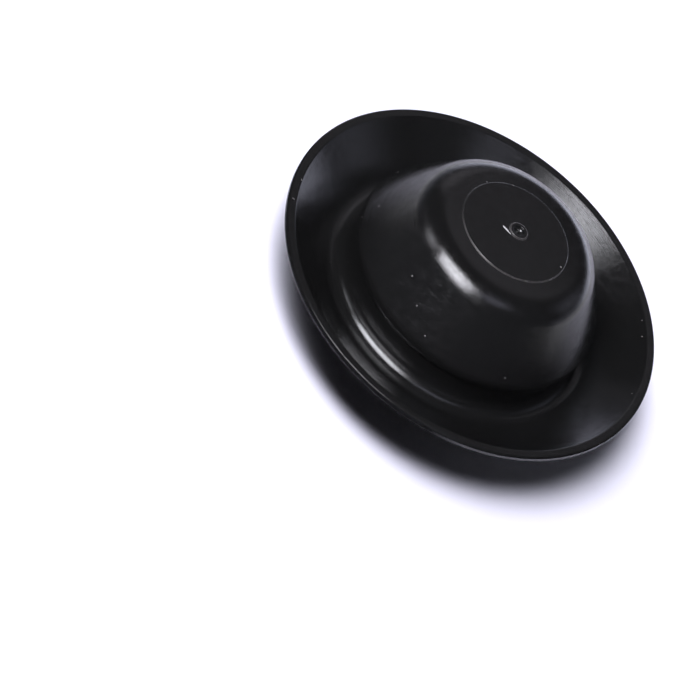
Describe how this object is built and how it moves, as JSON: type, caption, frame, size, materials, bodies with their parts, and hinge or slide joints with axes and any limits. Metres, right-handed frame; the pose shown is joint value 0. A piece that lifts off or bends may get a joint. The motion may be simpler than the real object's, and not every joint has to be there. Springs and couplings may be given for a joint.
{
  "type": "sheet metal hole plug",
  "caption": "Moulded rubber plug with a domed hollow nose, a snap-in groove round its neck and a dished sealing flange, to close a round hole in sheet metal.",
  "frame": {"origin": "on the plug's axis, in the plane that the rim of the cup's mouth stands on", "axes": "+Z along the plug's axis and out through the nose; the plug is round but for its gate, which lies 0.2 mm off the axis at 50 degrees from +X towards +Y"},
  "size_m": [0.0318, 0.0318, 0.0102],
  "materials": {
    "black_rubber": "satin moulded rubber, with faint turning lines and a little dust"
  },
  "bodies": {
    "root": {"hole_plug": "black_rubber"}
  },
  "joints": []
}
